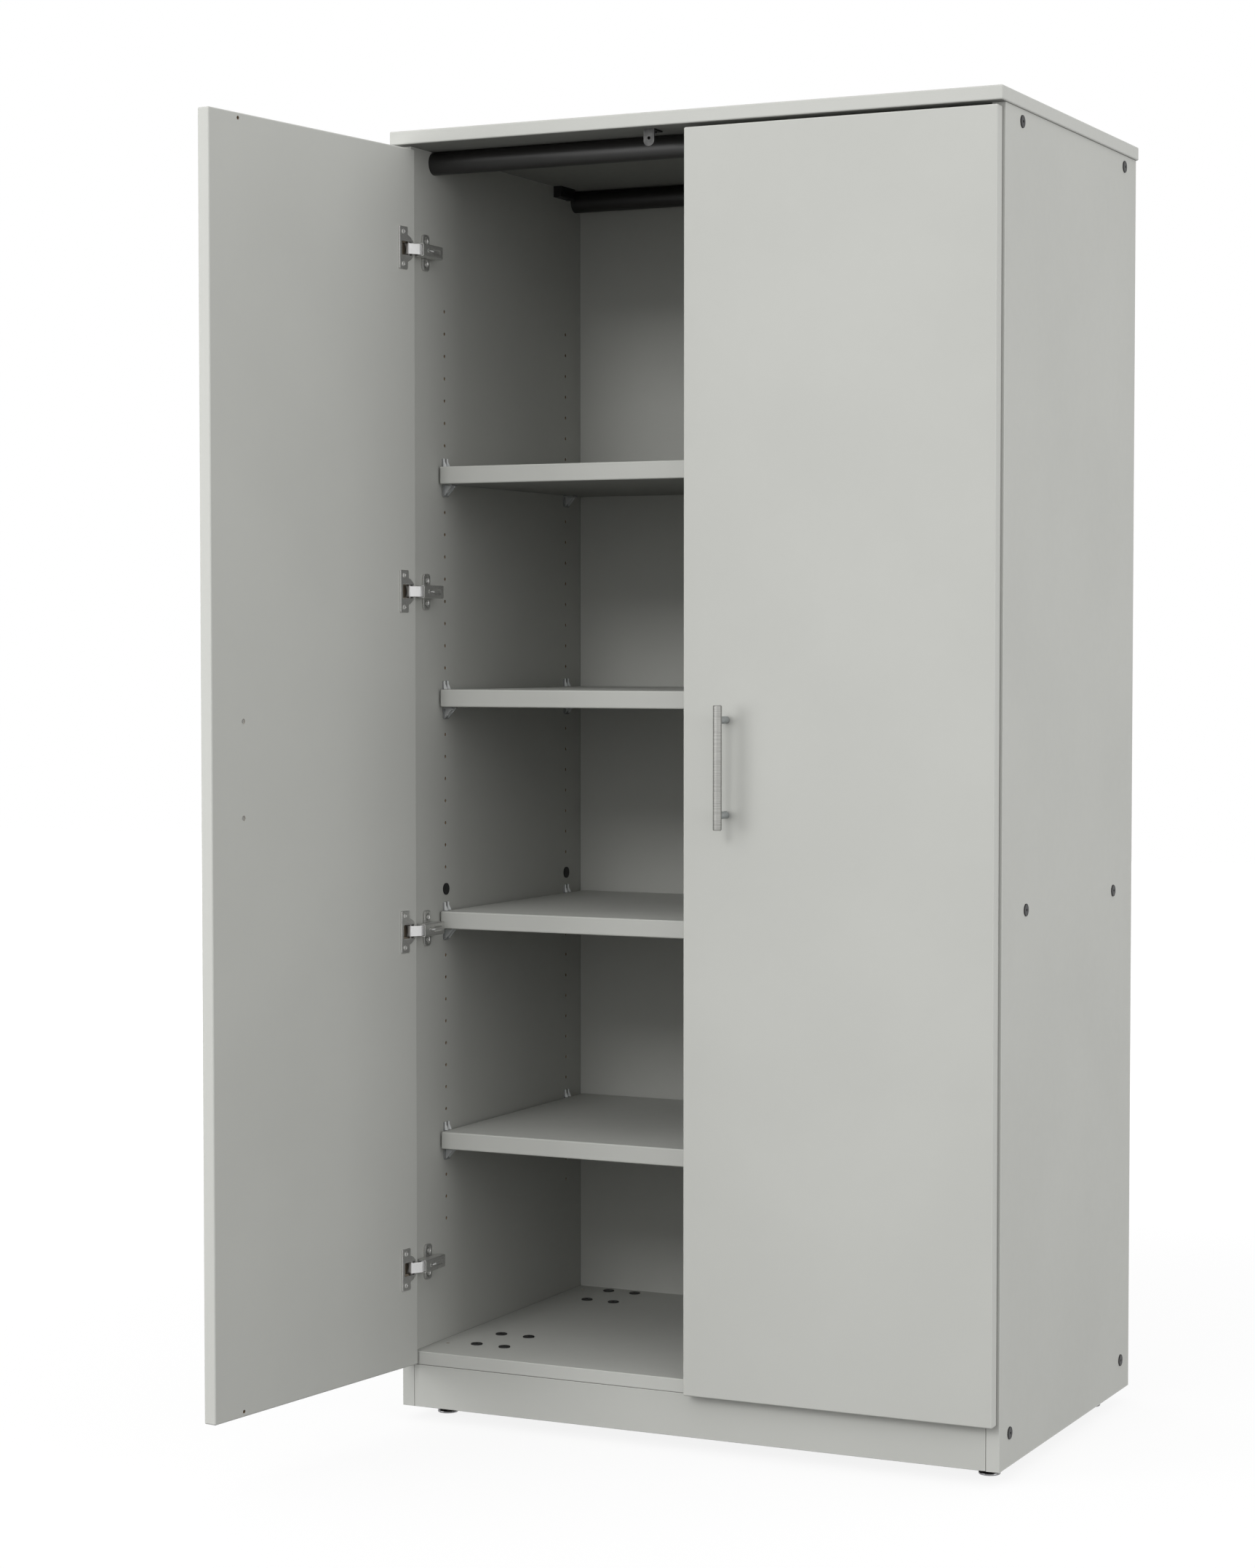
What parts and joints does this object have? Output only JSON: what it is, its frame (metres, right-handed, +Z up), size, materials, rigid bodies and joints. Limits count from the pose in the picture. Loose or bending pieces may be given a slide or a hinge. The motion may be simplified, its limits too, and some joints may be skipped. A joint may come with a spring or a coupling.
{
  "type": "two-door wardrobe cupboard",
  "caption": "Tall free-standing cupboard of grey board with two hinged doors on concealed hinges, bar handles, clip-held adjustable shelves, black cross rails and levelling feet.",
  "frame": {"origin": "on the floor, under the middle of the carcass", "axes": "+X to the right as seen from the front, +Y to the back, +Z up"},
  "size_m": [0.9797, 1.0203, 1.83],
  "materials": {
    "board": "melamine faced board, fine satin grain",
    "rail_black": "gloss black tube",
    "clip_clear": "clear moulded plastic",
    "foot_chrome": "bright plated",
    "dowel_beech": "fluted beech",
    "steel_plain": "plain steel",
    "zinc_screw": "zinc plated",
    "zinc_sheet": "zinc plated sheet",
    "plug_black": "matt black nylon",
    "bolt_black": "black satin",
    "block_black": "matt black moulded",
    "hinge_nickel": "nickel plated, satin",
    "link_bright": "bright nickel",
    "handle_steel": "brushed along the bar"
  },
  "bodies": {
    "carcass": {"right_side_panel": "board", "left_side_panel": "board", "top_panel": "board", "bottom_panel": "board", "back_panel": "board", "front_plinth": "board", "shelf_1": "board", "shelf_2": "board", "shelf_3": "board", "shelf_4": "board", "upper_front_rail": "rail_black", "upper_back_rail": "rail_black", "lower_front_rail": "rail_black", "lower_back_rail": "rail_black", "shelf_1_clips": "clip_clear", "shelf_2_clips": "clip_clear", "shelf_3_clips": "clip_clear", "shelf_4_clips": "clip_clear", "board_dowels": "dowel_beech", "hinge_arm_pins": "steel_plain", "hinge_adjusters": "zinc_screw", "hinge_plate_screws": "zinc_screw", "rail_plugs": "plug_black", "rail_bolts": "bolt_black", "link_bolts": "bolt_black", "link_bolt_nuts": "bolt_black", "floor_bolts": "bolt_black", "floor_bolt_nuts": "bolt_black", "corner_blocks": "block_black", "fitting_screws": "bolt_black", "door_bracket": "zinc_sheet", "foot_sockets": "plug_black", "left_hinge_arms": "hinge_nickel", "left_hinge_plates": "hinge_nickel", "right_hinge_arms": "hinge_nickel", "right_hinge_plates": "hinge_nickel"},
    "left_leaf": {"left_door": "board", "left_hinge_cups": "hinge_nickel", "left_hinge_cup_screws": "zinc_screw", "left_hinge_cup_pins": "steel_plain", "left_handle_bar": "handle_steel", "left_handle_posts": "handle_steel", "left_handle_screws": "zinc_screw"},
    "right_leaf": {"right_door": "board", "right_hinge_cups": "hinge_nickel", "right_hinge_cup_screws": "zinc_screw", "right_hinge_cup_pins": "steel_plain", "right_handle_bar": "handle_steel", "right_handle_posts": "handle_steel", "right_handle_screws": "zinc_screw"},
    "left_links": {"left_hinge_links": "link_bright"},
    "right_links": {"right_hinge_links": "link_bright"},
    "front_left_leveller": {"front_left_foot": "foot_chrome"},
    "front_right_leveller": {"front_right_foot": "foot_chrome"},
    "back_left_leveller": {"back_left_foot": "foot_chrome"},
    "back_right_leveller": {"back_right_foot": "foot_chrome"}
  },
  "joints": [
    {"name": "left_link_swing", "type": "hinge", "parent": "carcass", "child": "left_links", "pos_m": [-0.4175, -0.284, 0.94405], "axis": [0, 0, 1], "range_deg": [-34.09, 2.66]},
    {"name": "left_door_swing", "type": "hinge", "parent": "left_links", "child": "left_leaf", "pos_m": [-0.42759, -0.30121, 0.94405], "axis": [0, 0, -1], "range_deg": [-131.49, 10.26]},
    {"name": "right_link_swing", "type": "hinge", "parent": "carcass", "child": "right_links", "pos_m": [0.4175, -0.284, 0.94405], "axis": [0, 0, -1], "range_deg": [0, 36.75]},
    {"name": "right_door_swing", "type": "hinge", "parent": "right_links", "child": "right_leaf", "pos_m": [0.4355, -0.2926, 0.94405], "axis": [0, 0, 1], "range_deg": [0, 141.75]},
    {"name": "front_left_foot_screw", "type": "slide", "parent": "carcass", "child": "front_left_leveller", "axis": [0, 0, -1], "range_m": [0, 0.015]},
    {"name": "front_right_foot_screw", "type": "slide", "parent": "carcass", "child": "front_right_leveller", "axis": [0, 0, -1], "range_m": [0, 0.015]},
    {"name": "back_left_foot_screw", "type": "slide", "parent": "carcass", "child": "back_left_leveller", "axis": [0, 0, -1], "range_m": [0, 0.015]},
    {"name": "back_right_foot_screw", "type": "slide", "parent": "carcass", "child": "back_right_leveller", "axis": [0, 0, -1], "range_m": [0, 0.015]}
  ],
  "couplings": [
    {"joint": "left_link_swing", "follows": "left_door_swing", "ratio": 0.25926},
    {"joint": "right_link_swing", "follows": "right_door_swing", "ratio": 0.25926}
  ]
}
